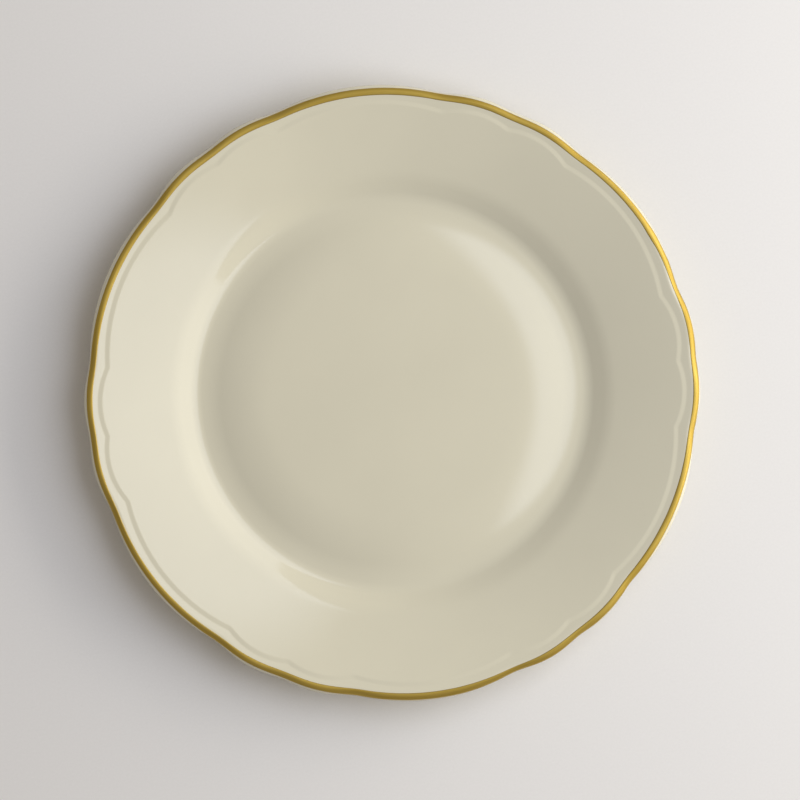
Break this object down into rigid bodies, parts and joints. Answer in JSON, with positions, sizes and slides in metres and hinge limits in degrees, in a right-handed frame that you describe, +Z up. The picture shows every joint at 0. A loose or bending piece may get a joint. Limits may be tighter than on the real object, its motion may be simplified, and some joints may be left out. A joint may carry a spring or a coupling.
{
  "type": "dinner plate",
  "caption": "Ivory china dinner plate with a scalloped rim, a pressed border line and a fired gold band, for serving a meal at table.",
  "frame": {"origin": "middle of the foot ring's resting plane, on the plate's axis", "axes": "+Z up along the plate's axis, out of the eating face; +X through the middle of a pair of small lobes; +Y through a broad lobe"},
  "size_m": [0.2654, 0.2666, 0.021],
  "materials": {
    "bare_china": "matte",
    "ivory_glaze": "gloss",
    "recess_glaze": "gloss",
    "fired_gold": "polished"
  },
  "bodies": {
    "root": {"china_body": "bare_china", "glaze_coat": "ivory_glaze", "foot_recess_glaze": "recess_glaze", "gold_line": "fired_gold"}
  },
  "joints": []
}
